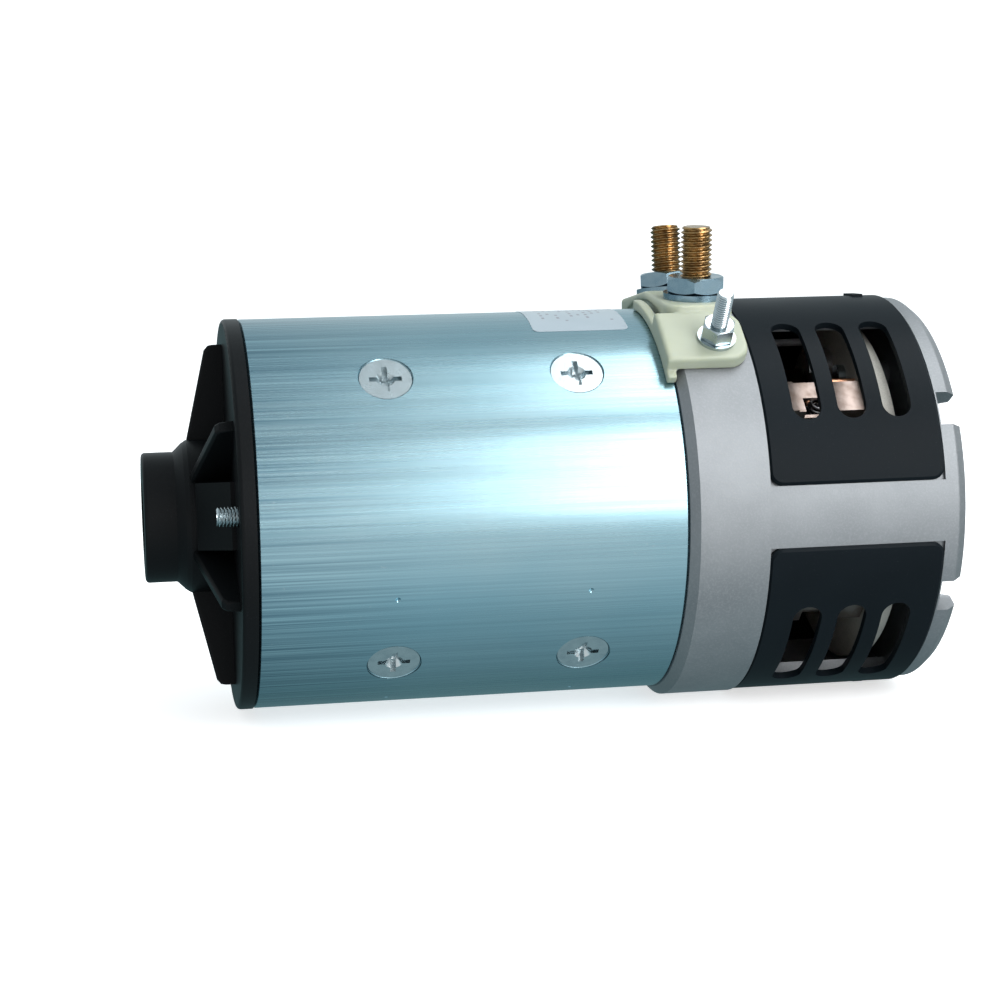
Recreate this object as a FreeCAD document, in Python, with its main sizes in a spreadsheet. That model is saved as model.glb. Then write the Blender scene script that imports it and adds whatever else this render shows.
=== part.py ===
"""Direct-current pump motor with a wound field: 120 mm yoke, four poles, four brushes.

The motor axis is X. The drive end points along -X, the terminals stand up along +Z, and the origin is on the
axis, at the front face of the drive end shield's flange. Lengths are in millimetres. Angles are in degrees about
+X: 0 is +Y, 90 is +Z (the top) and 180 is the side that faces -Y.
"""
import FreeCAD, Part
import math
import os
import re
import Sketcher

DIMENSIONS = {
    # yoke
    "yoke_radius": 60,
    "yoke_wall": 6,
    "yoke_start": 4.7,
    "yoke_length": 126.8,
    "punch_angle": 24,
    # drive end shield
    "flange_radius": 60.2,
    "boss_radius": 20,
    "boss_front": -25.9,
    "boss_length": 9.6,
    "hub_radius": 23.5,
    "hub_front": -12.2,
    "rib_radius": 52.5,
    "rib_width": 3.4,
    "shield_turn": 83.5,
    "seal_radius": 13,
    "cavity_radius": 11,
    "spigot_length": 4,
    # bolts through the whole motor
    "bolt_radius": 3,
    "bolt_circle": 49.2,
    "bolt_turn": 83.5,
    "bolt_tip": -6.2,
    "bolt_seat": 207.5,
    "bolt_head_flats": 10,
    "bolt_head_height": 4,
    # poles and field coils
    "pole_turn": -46.8,
    "pole_start": 30.5,
    "pole_length": 86.1,
    "pole_bore": 35.4,
    "pole_width": 30,
    "pole_screw_first": 44.9,
    "pole_screw_second": 102.2,
    "pole_screw_radius": 4,
    "screw_head_radius": 7.8,
    "screw_head_top": 59.3,
    "coil_width": 9,
    # armature
    "shaft_front": -24,
    "shaft_radius": 7.5,
    "core_start": 31.5,
    "core_length": 84,
    "core_radius": 34.7,
    "core_bore": 11,
    "core_slots": 25,
    "slot_width": 3.6,
    "commutator_start": 152,
    "commutator_end": 194.6,
    "commutator_radius": 23,
    "commutator_bore": 10,
    # bearings
    "front_bearing_outer": 17.5,
    "front_bearing_bore": 7.5,
    "front_bearing_width": 11,
    "front_bearing_start": -11,
    "front_ball_circle": 12.5,
    "rear_bearing_outer": 16,
    "rear_bearing_bore": 6,
    "rear_bearing_width": 10,
    "rear_bearing_start": 198,
    "rear_ball_circle": 11,
    "ball_radius": 3,
    # commutator end housing
    "band_radius": 62.85,
    "band_end": 155.4,
    "seat_radius": 61.4,
    "pocket_radius": 60.2,
    "housing_end": 217.3,
    "rear_face": 213.3,
    "housing_bore": 55.5,
    "window_start": 160,
    "window_end": 206,
    "window_spread": 52,
    "notch_radius": 5.3,
    # vent covers
    "cover_start": 155.5,
    "cover_end": 210.1,
    "cover_radius": 62.4,
    "cover_spread": 162.4,
    "vent_first": 164.8,
    "vent_pitch": 14.0,
    "vent_width": 9.0,
    "vent_spread": 27.4,
    # brush gear
    "brush_start": 169,
    "brush_length": 24,
    "brush_width": 9,
    "brush_bottom": 23.05,
    "brush_top": 37.5,
    "holder_bottom": 25.5,
    "holder_top": 46.7,
    "holder_wall": 1.2,
    "plate_start": 195.2,
    "plate_thickness": 4.3,
    "plate_screw_circle": 38.6,
    # terminals
    "block_start": 132.6,
    "block_end": 154,
    "block_width": 64,
    "pad_start": 128.4,
    "pad_end": 154.2,
    "pad_top": 66.8,
    "seat_height": 63.6,
    "stud_lean": 6.5,
    "stud_place": 145.2,
    "stud_spacing": 33.8,
    "stud_radius": 4.9,
    "shank_relief": 0.2,
    "stud_tip": 85.8,
    "stud_nut_flats": 17,
    "stud_nut_height": 5,
    "stud_washer_radius": 10,
    "stud_washer_height": 1.9,
    "sensor_place": 144.9,
    "sensor_angle": 128.5,
    "sensor_radius": 2.5,
    "sensor_tip": 84.6,
    "sensor_nut_flats": 9,
    "sensor_nut_height": 5,
    "sensor_washer_radius": 5.8,
    "sensor_washer_height": 1,
}

doc = FreeCAD.newDocument("electric_motor")
sheet = doc.addObject("Spreadsheet::Sheet", "dims")
for row, (alias, number) in enumerate(DIMENSIONS.items(), 1):
    sheet.set(f"A{row}", alias)
    sheet.set(f"B{row}", str(number))
    sheet.setAlias(f"B{row}", alias)
doc.recompute()

WORD = re.compile(r"[A-Za-z_]\w*")
X_AXIS = FreeCAD.Vector(1, 0, 0)
Y_AXIS = FreeCAD.Vector(0, 1, 0)
Z_AXIS = FreeCAD.Vector(0, 0, 1)
TOP = 90
CLEAR = 70  # further out than any surface of the housing
nodes = []


def bound(formula):
    """The formula with each sheet alias written the way the expression engine reads it."""
    return WORD.sub(lambda found: f"dims.{found.group()}" if found.group() in DIMENSIONS else found.group(),
                    str(formula))


def value(formula):
    return float(sheet.evalExpression(bound(formula)))


def bind(thing, formulas):
    for name, formula in formulas.items():
        thing.setExpression(name, bound(formula))


def node(thing, label):
    """Marks an object as one sub-part, and gives it its name."""
    thing.Label = label
    nodes.append(thing)
    return thing


# ---- primitives -------------------------------------------------------------------------------------------------
def rod(name, radius, start, length, across=0, up=0):
    """A cylinder along X."""
    solid = doc.addObject("Part::Cylinder", name)
    place = FreeCAD.Vector(value(start), value(across), value(up))
    solid.Placement = FreeCAD.Placement(place, FreeCAD.Rotation(Y_AXIS, 90))
    bind(solid, {"Radius": radius, "Height": length, "Placement.Base.x": start,
                 "Placement.Base.y": across, "Placement.Base.z": up})
    return solid


def post(name, radius, along, bottom, top, across=0):
    """A cylinder along Z."""
    solid = doc.addObject("Part::Cylinder", name)
    bind(solid, {"Radius": radius, "Height": f"{top} - ({bottom})", "Placement.Base.x": along,
                 "Placement.Base.y": across, "Placement.Base.z": bottom})
    return solid


def bead(name, radius, along, across, up):
    """A ball, for the bends of leads."""
    ball = doc.addObject("Part::Sphere", name)
    bind(ball, {"Radius": radius, "Placement.Base.x": along, "Placement.Base.y": across,
                "Placement.Base.z": up})
    return ball


def rod_across(name, radius, along, start, length, up):
    """A cylinder along +Y."""
    solid = doc.addObject("Part::Cylinder", name)
    place = FreeCAD.Vector(value(along), value(start), value(up))
    solid.Placement = FreeCAD.Placement(place, FreeCAD.Rotation(X_AXIS, -90))
    bind(solid, {"Radius": radius, "Height": length, "Placement.Base.x": along,
                 "Placement.Base.y": start, "Placement.Base.z": up})
    return solid


def cone(name, lower_radius, upper_radius, along, bottom, top, across=0):
    """A cone along Z."""
    solid = doc.addObject("Part::Cone", name)
    bind(solid, {"Radius1": lower_radius, "Radius2": upper_radius, "Height": f"{top} - ({bottom})",
                 "Placement.Base.x": along, "Placement.Base.y": across, "Placement.Base.z": bottom})
    return solid


def block(name, start, end, width, bottom, top, across=0):
    """A box from start to end along X, centred on `across` in Y."""
    solid = doc.addObject("Part::Box", name)
    bind(solid, {"Length": f"{end} - ({start})", "Width": width, "Height": f"{top} - ({bottom})",
                 "Placement.Base.x": start, "Placement.Base.y": f"{across} - ({width}) / 2",
                 "Placement.Base.z": bottom})
    return solid


def wedge(name, radius, start, length, spread):
    """A slice of a cylinder about X, `spread` degrees wide and centred on the top."""
    solid = rod(name, radius, start, length)
    turn = FreeCAD.Rotation(X_AXIS, 180 - value(spread) / 2)
    solid.Placement = FreeCAD.Placement(solid.Placement.Base, turn * FreeCAD.Rotation(Y_AXIS, 90))
    bind(solid, {"Angle": spread})
    return solid


def hexagon(name, flats, along, bottom, top, across=0, turn=0):
    """A hexagonal prism along Z with both ends chamfered at 30 degrees."""
    prism = doc.addObject("Part::Prism", f"{name}_prism")
    prism.Polygon = 6
    prism.Placement.Rotation = FreeCAD.Rotation(Z_AXIS, turn)
    bind(prism, {"Circumradius": f"{flats} / sqrt(3)", "Height": f"{top} - ({bottom})",
                 "Placement.Base.x": along, "Placement.Base.y": across, "Placement.Base.z": bottom})
    flare = f"0.48 * {flats} + ({top} - ({bottom})) * sqrt(3)"
    upper = cone(f"{name}_upper", flare, f"0.48 * {flats}", along, bottom, top, across)
    lower = cone(f"{name}_lower", f"0.48 * {flats}", flare, along, bottom, top, across)
    return common(f"{name}_hexagon", prism, upper, lower)


# ---- combinations -----------------------------------------------------------------------------------------------
def fuse(name, *pieces):
    solid = doc.addObject("Part::MultiFuse", name)
    solid.Shapes = list(pieces)
    return solid


def common(name, *pieces):
    solid = doc.addObject("Part::MultiCommon", name)
    solid.Shapes = list(pieces)
    return solid


def group(name, *pieces):
    """Separate solids held together in one object."""
    solids = doc.addObject("Part::Compound", name)
    solids.Links = list(pieces)
    return solids


def cut(name, base, *tools):
    solid = doc.addObject("Part::Cut", name)
    solid.Base = base
    solid.Tool = tools[0] if len(tools) == 1 else fuse(f"{name}_tools", *tools)
    return solid


def copies(name, source, turns, shifts=(0,)):
    """Copies of a piece that stands at the top, each turned about X and shifted along X."""
    links = []
    for turn in turns:
        for shift in shifts:
            link = doc.addObject("App::Link", f"{name}_copy")
            link.setLink(source)
            link.LinkTransform = True
            rotation = FreeCAD.Rotation(X_AXIS, turn)
            link.Placement = FreeCAD.Placement(FreeCAD.Vector(shift, 0, 0), rotation)
            links.append(link)
    return group(name, *links)


def outlined(name, outline):
    """A body with a sketch of a closed outline of (place along X, height) corners, and the sketch."""
    body = doc.addObject("PartDesign::Body", name)
    sketch = body.newObject("Sketcher::SketchObject", f"{name}_outline")
    plane = [feature for feature in body.Origin.OriginFeatures if feature.Role == "XZ_Plane"][0]
    sketch.AttachmentSupport = [(plane, "")]
    sketch.MapMode = "FlatFace"
    corners = [FreeCAD.Vector(value(along), value(height), 0) for along, height in outline]
    followers = [(index + 1) % len(corners) for index in range(len(corners))]
    for index, follower in enumerate(followers):
        sketch.addGeometry(Part.LineSegment(corners[index], corners[follower]), False)
    for index, follower in enumerate(followers):
        sketch.addConstraint(Sketcher.Constraint("Coincident", index, 2, follower, 1))
        for kind, number, formula in (("DistanceX", corners[index].x, outline[index][0]),
                                      ("DistanceY", corners[index].y, outline[index][1])):
            constraint = sketch.addConstraint(Sketcher.Constraint(kind, index, 1, number))
            sketch.setExpression(f"Constraints[{constraint}]", bound(formula))
    return body, sketch


def turned(name, outline):
    """A body turned about X from an outline of (place along X, radius) corners."""
    body, sketch = outlined(name, outline)
    turning = body.newObject("PartDesign::Revolution", f"{name}_turning")
    turning.Profile = sketch
    turning.ReferenceAxis = (sketch, ["H_Axis"])
    turning.Angle = 360
    body.Tip = turning
    return body


def tube(name, outer, inner, start, length):
    end = f"{start} + {length}"
    return turned(name, [(start, inner), (end, inner), (end, outer), (start, outer)])


def slab(name, width, outline):
    """A plate `width` thick across Y, padded from an outline of (place along X, height) corners."""
    body, sketch = outlined(name, outline)
    pad = body.newObject("PartDesign::Pad", f"{name}_pad")
    pad.Profile = sketch
    pad.Midplane = True
    pad.setExpression("Length", bound(width))
    body.Tip = pad
    return body


def rounded(name, base, radius, wanted, kind="Part::Fillet"):
    """The base with the edges for which wanted(edge) is true filleted, or chamfered."""
    doc.recompute()
    size = value(radius)
    solid = doc.addObject(kind, name)
    solid.Base = base
    solid.Edges = [(number, size, size) for number, edge in enumerate(base.Shape.Edges, 1) if wanted(edge)]
    return solid


def ring_edge(*rings):
    """A test for the circles about X at the given (place along X, radius) pairs."""
    rings = [(value(along), value(radius)) for along, radius in rings]

    def wanted(edge):
        if not isinstance(edge.Curve, Part.Circle) or abs(abs(edge.Curve.Axis.x) - 1) > 1e-6:
            return False
        here = (edge.Curve.Center.x, edge.Curve.Radius)
        return any(math.dist(here, ring) < 1e-3 for ring in rings)

    return wanted


# ---- yoke and field ---------------------------------------------------------------------------------------------
POLE_TURNS = [value("pole_turn") + 90 * step for step in range(4)]
BOLT_TURNS = [value("bolt_turn"), value("bolt_turn") + 180]
SCREW_SHIFTS = (0, value("pole_screw_second - pole_screw_first"))


def build_yoke():
    end = "yoke_start + yoke_length"
    wall = tube("yoke_wall_tube", "yoke_radius", "yoke_radius - yoke_wall", "yoke_start", "yoke_length")
    eased = rounded("yoke_eased", wall, 0.8, ring_edge(("yoke_start", "yoke_radius"), (end, "yoke_radius")),
                    "Part::Chamfer")
    place = "pole_screw_first"
    hole = fuse("screw_hole",
                post("screw_hole_shank", "pole_screw_radius + 0.4", place, 50, 58),
                cone("screw_hole_sink", "pole_screw_radius", "screw_head_radius + 0.4", place,
                     "screw_head_top - 4.2", "screw_head_top"),
                post("screw_hole_mouth", "screw_head_radius + 0.4", place, "screw_head_top", CLEAR))
    punch = cone("punch_mark", 0.05, 1.0, "pole_screw_first", "yoke_radius - 0.8", "yoke_radius + 0.2")
    marks = [turn + sign * value("punch_angle") for turn in POLE_TURNS[::2] for sign in (-1, 1)]
    node(cut("yoke", eased, copies("screw_holes", hole, POLE_TURNS, SCREW_SHIFTS),
             copies("punch_marks", punch, marks, SCREW_SHIFTS)), "yoke_tube")


def build_poles():
    end = "pole_start + pole_length"
    body = fuse("pole_body",
                block("pole_core", "pole_start", end, "pole_width", "pole_bore", "yoke_radius"),
                wedge("pole_face", "pole_bore + 5", "pole_start", "pole_length", 68))
    shaped = common("pole_shaped", body, rod("pole_outside", "yoke_radius - yoke_wall - 0.02",
                                             "pole_start", "pole_length"))
    thread = post("pole_thread", "pole_screw_radius + 0.05", "pole_screw_first", 41, CLEAR)
    bore = rod("pole_bore_rod", "pole_bore", "pole_start - 1", "pole_length + 2")
    pole = cut("pole", shaped, bore, copies("pole_threads", thread, [0], SCREW_SHIFTS))
    node(copies("poles", pole, POLE_TURNS), "pole_shoes")


def build_pole_screws():
    place = "pole_screw_first"
    top = "screw_head_top"
    sink = f"{top} - 0.4 - (screw_head_radius - pole_screw_radius)"
    body = fuse("pole_screw_body",
                post("pole_screw_shank", "pole_screw_radius", place, 42, sink),
                cone("pole_screw_sink", "pole_screw_radius", "screw_head_radius", place, sink, f"{top} - 0.4"),
                post("pole_screw_rim", "screw_head_radius", place, f"{top} - 0.4", top))
    arm = "screw_head_radius * 0.62"
    recess = fuse("pole_screw_recess",
                  block("recess_lengthways", f"{place} - {arm}", f"{place} + {arm}", 1.7, f"{top} - 2.2", CLEAR),
                  block("recess_crossways", f"{place} - 0.85", f"{place} + 0.85", f"2 * {arm}",
                        f"{top} - 2.2", CLEAR),
                  cone("recess_well", 1.0, "screw_head_radius * 0.36", place, f"{top} - 2.8", top))
    screw = cut("pole_screw", body, recess)
    node(copies("screws", screw, POLE_TURNS, SCREW_SHIFTS), "pole_screws")


def build_field_coils():
    end = "pole_start + pole_length"
    outer = block("coil_outer", "pole_start - coil_width", f"{end} + coil_width",
                  "pole_width + 2 * coil_width", "pole_bore + 5.4", "yoke_radius")
    inner = block("coil_inner", "pole_start - 0.3", f"{end} + 0.3", "pole_width + 0.6", 30, CLEAR)
    limit = rod("coil_limit", "yoke_radius - yoke_wall - 0.6", "pole_start - 20", "pole_length + 40")
    coil = common("coil", cut("coil_ring", outer, inner), limit)
    eased = rounded("coil_eased", coil, 2.5, lambda edge: edge.Length > 70 and edge.BoundBox.ZMin < 41)
    node(copies("coils", eased, POLE_TURNS), "field_coils")


def build_field_connectors():
    """A curved copper bar from a coil to each terminal stud, with a tongue under the stud's head."""
    start = "pole_start + pole_length + coil_width + 0.2"
    arc = cut("connector_arc", wedge("connector_slice", 45.3, start, 4, 28), rod("connector_inside", 42.5, 100, 60))
    tongue = block("connector_tongue", start, "stud_place + 7", 9, 43.5, 45.3)
    bars = [copies(f"connector_{side}", fuse(f"connector_bar_{side}", copies(f"connector_arc_{side}", arc, [9 * turn]),
                                             tongue), [18 * turn]) for side, turn in (("far", -1), ("near", 1))]
    node(group("connector_bars", *bars), "field_connectors")


# ---- drive end --------------------------------------------------------------------------------------------------
def build_drive_end_shield():
    flare = "boss_front + boss_length"
    disc = turned("shield_disc", [
        ("boss_front", "cavity_radius"), ("boss_front", "boss_radius"), (flare, "boss_radius"),
        ("hub_front - 1.4", "hub_radius - 0.9"), ("hub_front", "hub_radius"), (0, "hub_radius"),
        (0, "flange_radius"), ("yoke_start", "flange_radius"),
        ("yoke_start", "yoke_radius - yoke_wall - 0.05"),
        ("yoke_start + spigot_length", "yoke_radius - yoke_wall - 0.05"),
        ("yoke_start + spigot_length", "yoke_radius - yoke_wall - 3.6"),
        (5.4, "yoke_radius - yoke_wall - 3.6"), (5.4, 24), (3, 24), (3, "front_bearing_outer"),
        ("front_bearing_start", "front_bearing_outer"), ("front_bearing_start", "seal_radius"),
        ("front_bearing_start - 7.5", "seal_radius"), ("front_bearing_start - 7.5", "cavity_radius")])
    eased = rounded("shield_eased", disc, 1.2, ring_edge((0, "flange_radius"), ("boss_front", "boss_radius")))
    rib = slab("shield_rib", "rib_width", [
        (1, 18), (-12, 18), (-12, "hub_radius - 0.6"), ("-5.4", "rib_radius - 1.6"),
        ("-4.2", "rib_radius - 0.25"), ("-3", "rib_radius"), (1, "rib_radius")])
    rib_eased = rounded("shield_rib_eased", rib, 0.9, lambda edge: edge.BoundBox.XMax < 0.9
                        and edge.BoundBox.ZMin > 20 and edge.BoundBox.YLength < 0.01)
    gusset = slab("shield_gusset", 20, [(1, 18), (-10.6, 18), (-10.6, 24), (-1.2, 38.5), (1, 38.5)])
    turns = [value("shield_turn") - TOP + 30 + 60 * step for step in range(6)]
    spokes = copies("shield_ribs", rib_eased, [turn + TOP for turn in turns])
    gussets = copies("shield_gussets", gusset, BOLT_TURNS)
    cavity = rod("shield_cavity", "cavity_radius", "boss_front - 1", 12)
    seat = rod("shield_seat", "front_bearing_outer", "front_bearing_start", 30)
    bolt_hole = rod("shield_bolt_hole", "bolt_radius + 0.1", -20, 40, 0, "bolt_circle")
    groove = cut("shield_groove", rod("shield_groove_outer", "front_bearing_outer + 0.9", 0.5, 1.2),
                 rod("shield_groove_inner", "front_bearing_outer - 3", 0.4, 1.4))
    ring_groove = cut("shield_ring_groove", rod("ring_groove_outer", "yoke_radius", "yoke_start + 0.9", 2),
                      rod("ring_groove_inner", "yoke_radius - yoke_wall - 1.7", "yoke_start", 4))
    whole = fuse("shield_whole", eased, spokes, gussets)
    node(cut("shield", whole, cavity, seat, groove, ring_groove,
             copies("shield_bolt_holes", bolt_hole, BOLT_TURNS)), "drive_end_shield")
    node(tube("seal_ring", "yoke_radius - yoke_wall - 0.05", "yoke_radius - yoke_wall - 1.6",
              "yoke_start + 1", 1.8), "shield_seal_ring")


def build_shaft_seal():
    start = "front_bearing_start - 7.4"
    lip = "shaft_radius + 0.05"
    node(turned("seal", [
        (start, "seal_radius"), (start, "seal_radius - 2.6"), (f"{start} + 1", "shaft_radius + 1.6"),
        (f"{start} + 2.2", lip), (f"{start} + 3.4", lip), (f"{start} + 3", "shaft_radius + 1.6"),
        (f"{start} + 2", "seal_radius - 2"), (f"{start} + 7.2", "seal_radius - 1.4"),
        (f"{start} + 7.2", "seal_radius")]), "shaft_seal")


def build_bearing(name, outer, bore, start, width, circle, count):
    """A deep groove ball bearing: two grooved rings, the balls and their cage."""
    middle = f"{start} + {width} / 2"
    groove = doc.addObject("Part::Torus", f"{name}_groove")
    groove.Placement = FreeCAD.Placement(FreeCAD.Vector(value(middle), 0, 0), FreeCAD.Rotation(Y_AXIS, 90))
    bind(groove, {"Radius1": circle, "Radius2": "ball_radius + 0.05", "Placement.Base.x": middle})
    land = "ball_radius * 0.72"
    node(cut(f"{name}_outer", tube(f"{name}_outer_blank", outer, f"{circle} + {land}", start, width), groove),
         f"{name}_outer_ring")
    node(cut(f"{name}_inner", tube(f"{name}_inner_blank", f"{circle} - {land}", bore, start, width), groove),
         f"{name}_inner_ring")
    ball = doc.addObject("Part::Sphere", f"{name}_ball")
    bind(ball, {"Radius": "ball_radius", "Placement.Base.x": middle, "Placement.Base.z": circle})
    pocket = post(f"{name}_pocket", "ball_radius + 0.05", middle, f"{circle} - 4", f"{circle} + 4")
    turns = [360 / count * step for step in range(count)]
    cage = tube(f"{name}_cage_blank", f"{circle} + 1.1", f"{circle} - 1.1", f"{middle} - 3.9", 7.8)
    node(copies(f"{name}_ball_set", ball, turns), f"{name}_balls")
    node(cut(f"{name}_cage_ring", cage, copies(f"{name}_pockets", pocket, turns)), f"{name}_cage")


def build_retaining_ring():
    ring = tube("circlip_blank", "front_bearing_outer + 0.85", "front_bearing_outer - 2.2", 0.55, 1.1)
    gap = block("circlip_gap", 0, 3, 7, -30, 0)
    node(cut("circlip", ring, gap), "bearing_retaining_ring")


# ---- armature ---------------------------------------------------------------------------------------------------
def build_shaft():
    front = "shaft_front"
    rear = "rear_bearing_start + rear_bearing_width - 0.4"
    spindle = turned("shaft_blank", [
        (front, 0), (front, "shaft_radius - 0.8"), (f"{front} + 0.8", "shaft_radius"), (0, "shaft_radius"),
        (0, 9.4), (14, 9.4), (14, "core_bore"), ("commutator_start - 2", "core_bore"),
        ("commutator_start - 2", "commutator_bore"), ("commutator_end + 1", "commutator_bore"),
        ("commutator_end + 1", 8),
        ("rear_bearing_start", 8), ("rear_bearing_start", "rear_bearing_bore"), (rear, "rear_bearing_bore"),
        (rear, 0)])
    slot = block("shaft_slot", f"{front} - 1", f"{front} + 4.6", 5, -20, 20)
    node(cut("shaft", spindle, slot), "armature_shaft")


def slot_turns():
    count = int(value("core_slots"))
    return [360 / count * step for step in range(count)]


def build_core():
    end = "core_start + core_length"
    blank = tube("core_blank", "core_radius", "core_bore", "core_start", "core_length")
    slot = fuse("core_slot",
                block("core_slot_deep", "core_start - 1", f"{end} + 1", "slot_width", 20.5, "core_radius - 1.4"),
                block("core_slot_mouth", "core_start - 1", f"{end} + 1", 1.8, 30, "core_radius + 2"))
    node(cut("core", blank, copies("core_slot_set", slot, slot_turns())), "armature_core")


def build_windings():
    """The slot bars joined by a rounded overhang at each end of the core."""
    end = "core_start + core_length"
    bar = block("winding_bar", "core_start - 4", f"{end} + 4", "slot_width - 0.3", 20.7, "core_radius - 1.7")
    front = turned("winding_front", [
        ("core_start - 0.3", 17), ("core_start - 0.3", 32.6), ("core_start - 10", 32.6),
        ("core_start - 14", 29), ("core_start - 14", 20), ("core_start - 10", 17)])
    rear = turned("winding_rear", [
        (f"{end} + 0.3", 17), (f"{end} + 0.3", 32.6), (f"{end} + 11", 32.6), ("commutator_start - 0.4", 25.4),
        ("commutator_start - 0.4", 20), (f"{end} + 11", 17)])
    node(fuse("windings", copies("winding_bars", bar, slot_turns()), front, rear), "armature_windings")


def build_commutator():
    hub = tube("commutator_hub_tube", "commutator_radius - 7.5", "commutator_bore", "commutator_start",
               "commutator_end - commutator_start + 0.8")
    node(hub, "commutator_hub")
    riser = "commutator_start + 5"
    copper = turned("commutator_blank", [
        ("commutator_start", "commutator_radius - 7.4"), ("commutator_start", "commutator_radius + 3"),
        (riser, "commutator_radius + 3"), (riser, "commutator_radius"), ("commutator_end", "commutator_radius"),
        ("commutator_end", "commutator_radius - 7.4")])
    gap = block("commutator_gap", "commutator_start - 5", "commutator_end + 5", 0.7, 10, 30)
    node(cut("commutator", copper, copies("commutator_gaps", gap, slot_turns())), "commutator_segments")


# ---- commutator end ---------------------------------------------------------------------------------------------
def build_housing():
    front = "yoke_start + yoke_length"
    shell = turned("housing_shell", [
        (f"{front} - spigot_length", "yoke_radius - yoke_wall - 3.1"),
        (f"{front} - spigot_length", "yoke_radius - yoke_wall - 0.05"),
        (front, "yoke_radius - yoke_wall - 0.05"), (front, "yoke_radius + 0.3"),
        (f"{front} + 2.5", "band_radius"), ("band_end", "band_radius"), ("band_end", "seat_radius"),
        ("housing_end - 3", "seat_radius"), ("housing_end", "seat_radius - 2.4"), ("housing_end", 54.2),
        ("rear_face", 53.4), ("rear_face", 0), ("rear_bearing_start + rear_bearing_width + 0.7", 0),
        ("rear_bearing_start + rear_bearing_width + 0.7", "rear_bearing_outer"),
        ("rear_bearing_start - 1", "rear_bearing_outer"), ("rear_bearing_start - 1", 20.5),
        ("rear_face - 4", 22), ("rear_face - 4", "housing_bore"), (f"{front} + 3", "housing_bore"),
        (f"{front} + 3", "yoke_radius - yoke_wall - 3.1")])
    eased = rounded("housing_eased", shell, 1.0, ring_edge(
        ("housing_end - 3", "seat_radius"), ("housing_end", "seat_radius - 2.4"), ("housing_end", 54.2)))
    bolt_boss = rod("housing_bolt_boss", 8, 201, "rear_face - 201", 0, "bolt_circle - 0.6")
    plate_boss = rod("housing_plate_boss", 4.5, "plate_start + plate_thickness",
                     "rear_face - 1 - plate_start - plate_thickness", 0, "plate_screw_circle")
    whole = fuse("housing_whole", eased, copies("housing_bolt_bosses", bolt_boss, BOLT_TURNS),
                 copies("housing_plate_bosses", plate_boss, PLATE_TURNS))
    pocket = cut("housing_pocket",
                 wedge("housing_pocket_slice", CLEAR, "band_end", "cover_end + 0.1 - band_end",
                       "cover_spread + 0.2"),
                 rod("housing_pocket_floor", "pocket_radius", "band_end - 1", 70))
    window = cut("housing_window",
                 wedge("housing_window_slice", CLEAR, "window_start", "window_end - window_start",
                       "window_spread"),
                 rod("housing_window_floor", 47, 150, 70))
    bolt_hole = fuse("housing_bolt_hole", rod("housing_bolt_bore", "bolt_radius + 0.3", 120, 100, 0, "bolt_circle"),
                     rod("housing_bolt_seat", 5.9, "bolt_seat", 20, 0, "bolt_circle"))
    plate_hole = rod("housing_plate_hole", 1.6, 180, 27, 0, "plate_screw_circle")
    notch = fuse("housing_notch", rod("housing_notch_floor", "notch_radius", "cover_end + 0.5", 20, 0, 55.2),
                 block("housing_notch_mouth", "cover_end + 0.5", 230, "2 * notch_radius", 55.2, CLEAR))
    mouth = cut("housing_mouth",
                wedge("housing_mouth_slice", CLEAR, f"{front} - 0.1", "block_end + 0.2 - yoke_start - yoke_length",
                      57.5),
                rod("housing_mouth_floor", "yoke_radius - yoke_wall - 0.05", 120, 60))
    node(cut("housing", whole, copies("housing_pockets", pocket, [0, 180]),
             copies("housing_windows", window, [45, 135, 225, 315]),
             copies("housing_bolt_holes", bolt_hole, BOLT_TURNS),
             copies("housing_plate_holes", plate_hole, PLATE_TURNS),
             copies("housing_notches", notch, NOTCH_TURNS), mouth, stud_room(),
             copies("housing_sensor_hole", post("housing_sensor_bore", 7, "sensor_place", 50, CLEAR),
                    [sensor_turn()])), "commutator_end_housing")


def stud_room():
    """Room under the terminal block for the heads of the studs."""
    return block("housing_stud_room", "stud_place - 9.5", "stud_place + 9.5", "stud_spacing + 20", 30, 58)


def build_wave_washer():
    start = "rear_bearing_start + rear_bearing_width"
    node(turned("washer_cone", [
        (start, "rear_bearing_outer - 0.1"), (f"{start} + 0.35", "rear_bearing_outer - 0.1"),
        (f"{start} + 0.65", "rear_bearing_outer - 3"), (f"{start} + 0.3", "rear_bearing_outer - 3")]),
        "wave_washer")


def build_vent_covers():
    """Two bent covers, each with three vent slots on the near side only."""
    wall = cut("cover_wall", wedge("cover_slice", "cover_radius", "cover_start", "cover_end - cover_start",
                                   "cover_spread"),
               rod("cover_inside", "pocket_radius + 0.1", "cover_start - 1", 70))

    def corner(edge):
        box = edge.BoundBox
        return box.XLength < 0.01 and abs(edge.Length - value("cover_radius - pocket_radius - 0.1")) < 0.05

    def outside(edge):
        point = edge.valueAt((edge.FirstParameter + edge.LastParameter) / 2)
        return abs(math.hypot(point.y, point.z) - value("cover_radius")) < 0.02

    cornered = rounded("cover_cornered", wall, 4.2, corner)
    bevelled = rounded("cover_bevelled", cornered, 0.9, outside, "Part::Chamfer")
    end = post("vent_slot_end", "vent_width / 2", "vent_first + vent_width / 2", 50, CLEAR)
    half = value("vent_spread / 2")
    slot = fuse("vent_slot", wedge("vent_slot_slice", CLEAR, "vent_first", "vent_width", "vent_spread"),
                copies("vent_slot_ends", end, [-half, half]))
    shifts = [value("vent_pitch") * step for step in range(3)]
    catch = block("cover_catch", "cover_start + 45", "cover_start + 48.3", 9, "cover_radius - 0.6",
                  "cover_radius + 0.6")
    plain = fuse("cover_with_catch", bevelled, catch)
    for label, turn, side in (("upper", 0, 1), ("lower", 180, -1)):
        slots = copies(f"vent_slots_{label}", slot, [side * 45.2], shifts)
        node(copies(f"cover_{label}", cut(f"cover_cut_{label}", plain, slots), [turn]), f"vent_cover_{label}")


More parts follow.
